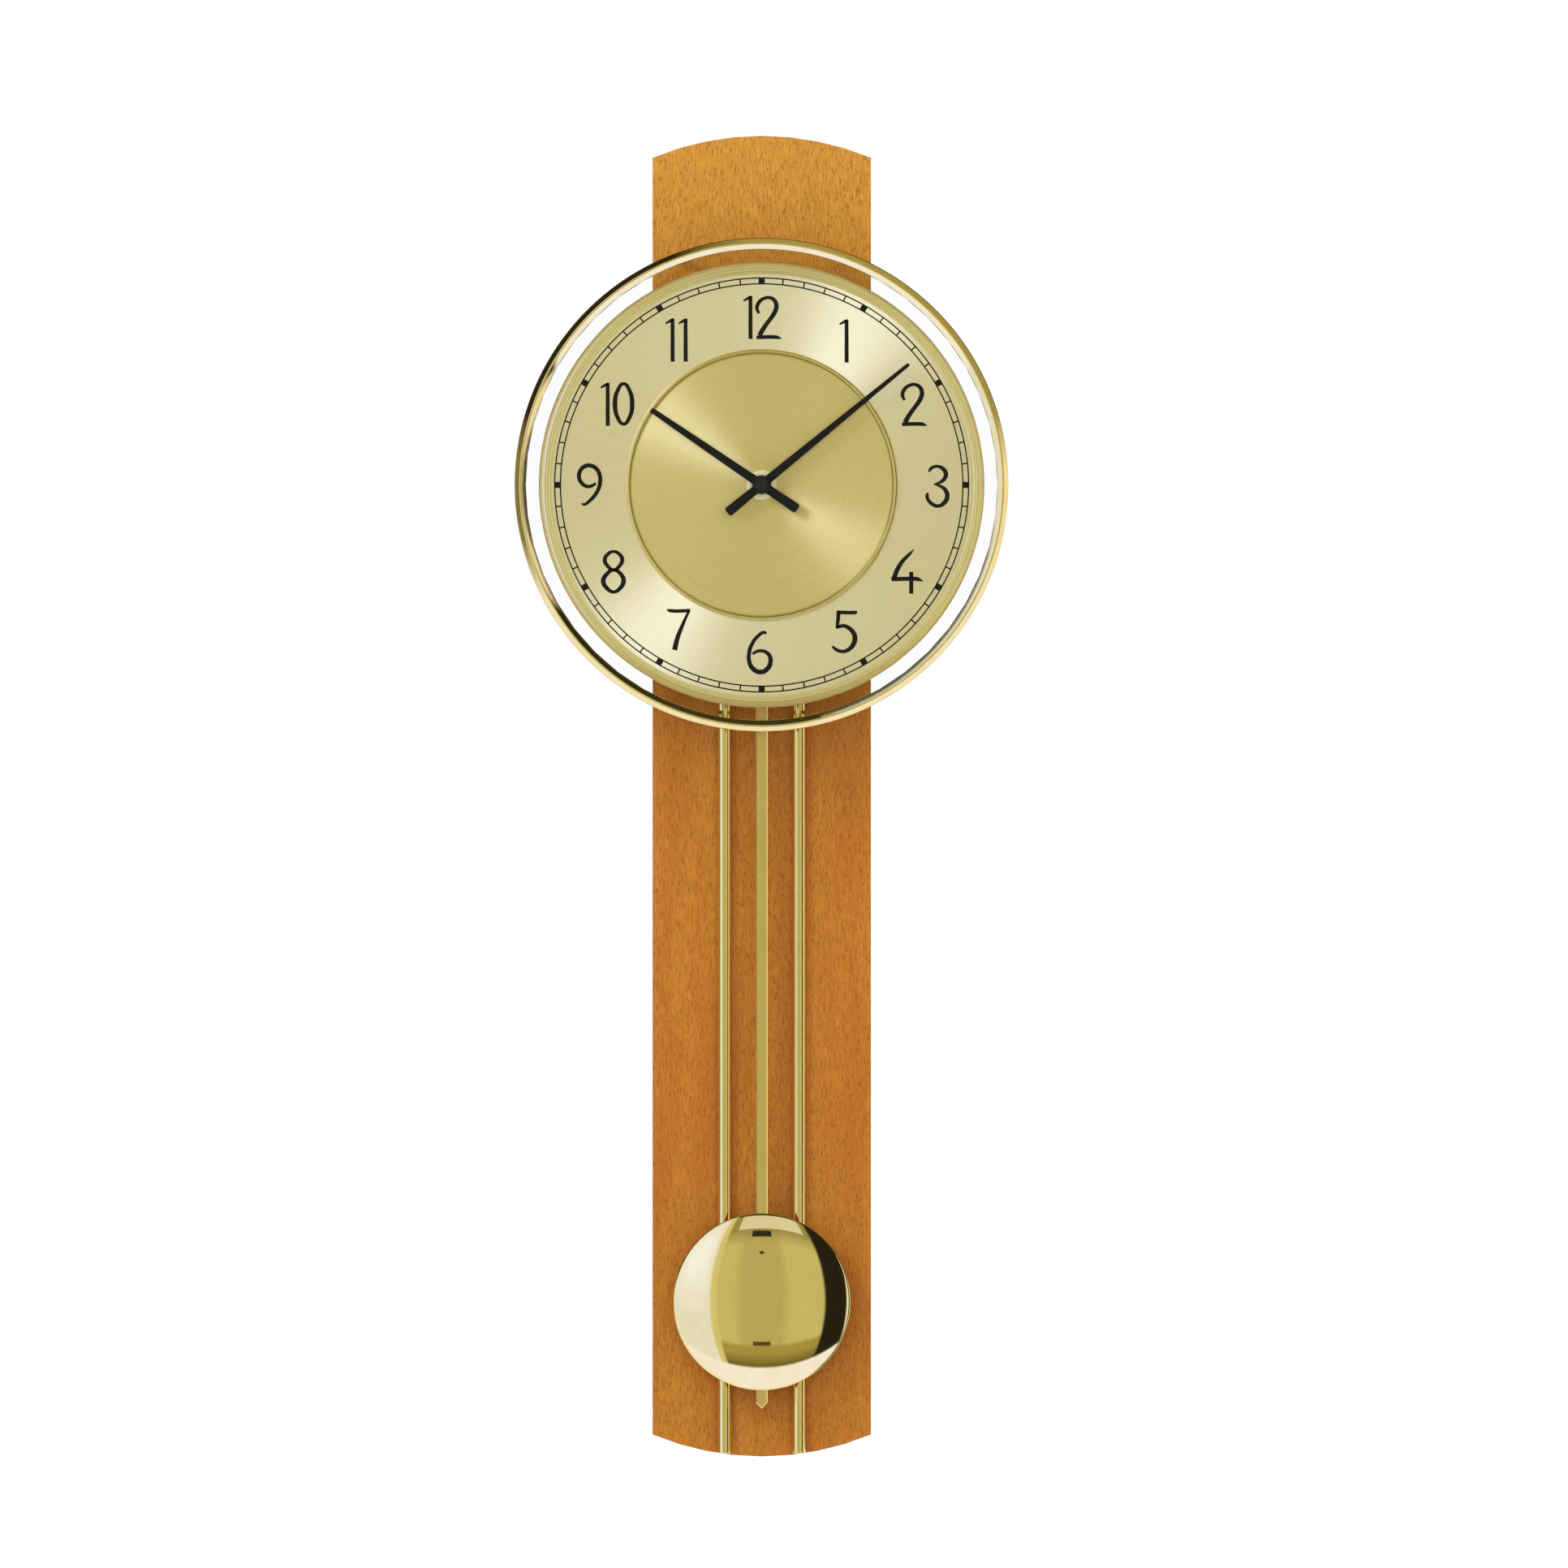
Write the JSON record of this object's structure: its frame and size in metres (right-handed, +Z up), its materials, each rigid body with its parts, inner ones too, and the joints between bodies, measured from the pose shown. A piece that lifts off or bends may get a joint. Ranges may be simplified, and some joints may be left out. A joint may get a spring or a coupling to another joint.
{
  "type": "pendulum wall clock",
  "caption": "Tall narrow wooden wall clock with a round brass-bezelled dial near the top, two brass rods and a swinging brass pendulum bob.",
  "frame": {"origin": "the nail's seat at the top of the keyhole in the hanger plate, in the plane of the board's back", "axes": "+Z up along the board, +Y into the wall, +X to the right as seen from the front"},
  "size_m": [0.2306, 0.0825, 0.62],
  "materials": {
    "board": "medium-density fibreboard, edges and back stained light brown",
    "beech_veneer": "beech veneer with a vertical grain and small dark flecks, satin lacquer",
    "polished_brass": "polished and lacquered",
    "satin_brass": "brushed",
    "dial_gold": "gold-anodised sheet with a sunray brushed finish",
    "crystal_glass": "clear, domed",
    "black_plastic": "moulded, fine texture",
    "white_plastic": "moulded",
    "wheel_plastic": "moulded acetal",
    "black_metal": "gloss black",
    "zinc_steel": "zinc plated",
    "rotor_magnet": "sintered magnet",
    "copper_winding": "enamelled copper wire",
    "circuit_board": "green solder mask",
    "battery_sleeve": "printed sleeve, left plain"
  },
  "bodies": {
    "clock": {"board_core": "board", "face_veneer": "beech_veneer", "hanger_plate": "zinc_steel", "hanger_screw_1": "zinc_steel", "hanger_screw_2": "zinc_steel", "rod_left": "polished_brass", "rod_right": "polished_brass", "dial_housing": "black_plastic", "dial_plate": "dial_gold", "dial_centre_disc": "satin_brass", "dial_bead": "polished_brass", "dial_rim": "satin_brass", "bezel_ring": "polished_brass", "crystal": "crystal_glass", "crystal_retainer": "zinc_steel", "movement_front_shell": "black_plastic", "movement_rear_cover": "white_plastic", "middle_plate": "white_plastic", "battery": "battery_sleeve", "battery_contact_minus": "zinc_steel", "battery_contact_plus": "zinc_steel", "motor_stator": "zinc_steel", "motor_coil": "copper_winding", "circuit_board": "circuit_board", "quartz_can": "zinc_steel", "pendulum_coil": "copper_winding", "pivot_pin": "zinc_steel", "centre_washer": "polished_brass", "centre_nut": "polished_brass", "rod_screw_1": "zinc_steel", "housing_screw_1": "zinc_steel", "bezel_post_1": "polished_brass", "rod_screw_2": "zinc_steel", "housing_screw_2": "zinc_steel", "bezel_post_2": "polished_brass", "rod_screw_3": "zinc_steel", "housing_screw_3": "zinc_steel", "bezel_post_3": "polished_brass", "rod_screw_4": "zinc_steel", "housing_screw_4": "zinc_steel", "bezel_post_4": "polished_brass"},
    "pendulum": {"pendulum_hanger": "black_plastic", "hanger_magnet": "rotor_magnet", "pendulum_lath": "satin_brass", "bob_shell": "polished_brass", "bob_back": "satin_brass", "bob_clip": "zinc_steel"},
    "minute": {"minute_arbor": "zinc_steel", "minute_hand": "black_metal", "cap_nut": "black_metal"},
    "hour": {"hour_wheel": "wheel_plastic", "hour_hand": "black_metal"},
    "motion_work": {"minute_wheel": "wheel_plastic", "setting_knob": "white_plastic"},
    "centre": {"centre_wheel": "wheel_plastic"},
    "third": {"third_wheel": "wheel_plastic"},
    "seconds": {"seconds_wheel": "wheel_plastic"},
    "fifth": {"fifth_wheel": "wheel_plastic"},
    "motor": {"rotor": "rotor_magnet"}
  },
  "joints": [
    {"name": "pendulum_swing", "type": "hinge", "parent": "clock", "child": "pendulum", "pos_m": [0, -0.0365, -0.0686], "axis": [0, 1, 0], "range_deg": [-4, 4]},
    {"name": "hands_turn", "type": "hinge", "parent": "clock", "child": "minute", "pos_m": [0, -0.0522, -0.1146], "axis": [0, 1, 0], "continuous": true},
    {"name": "hour_turn", "type": "hinge", "parent": "clock", "child": "hour", "pos_m": [0, -0.0542, -0.1146], "axis": [0, 1, 0], "continuous": true},
    {"name": "motion_work_turn", "type": "hinge", "parent": "clock", "child": "motion_work", "pos_m": [0.0115, -0.0522, -0.1146], "axis": [0, 1, 0], "continuous": true},
    {"name": "seconds_turn", "type": "hinge", "parent": "clock", "child": "seconds", "pos_m": [-0.0101, -0.045, -0.09891], "axis": [0, 1, 0], "continuous": true},
    {"name": "centre_turn", "type": "hinge", "parent": "clock", "child": "centre", "pos_m": [0, -0.0499, -0.1146], "axis": [0, 1, 0], "continuous": true},
    {"name": "third_turn", "type": "hinge", "parent": "clock", "child": "third", "pos_m": [-0.00851, -0.047, -0.10795], "axis": [0, 1, 0], "continuous": true},
    {"name": "fifth_turn", "type": "hinge", "parent": "clock", "child": "fifth", "pos_m": [-0.00266, -0.043, -0.0976], "axis": [0, 1, 0], "continuous": true},
    {"name": "rotor_turn", "type": "hinge", "parent": "clock", "child": "motor", "pos_m": [0.00266, -0.043, -0.09853], "axis": [0, 1, 0], "continuous": true}
  ],
  "couplings": [
    {"joint": "hour_turn", "follows": "hands_turn", "ratio": 0.083333},
    {"joint": "motion_work_turn", "follows": "hands_turn", "ratio": -0.33333},
    {"joint": "centre_turn", "follows": "seconds_turn", "ratio": 0.016667},
    {"joint": "third_turn", "follows": "seconds_turn", "ratio": -0.13333},
    {"joint": "fifth_turn", "follows": "seconds_turn", "ratio": -6},
    {"joint": "rotor_turn", "follows": "seconds_turn", "ratio": 30}
  ]
}
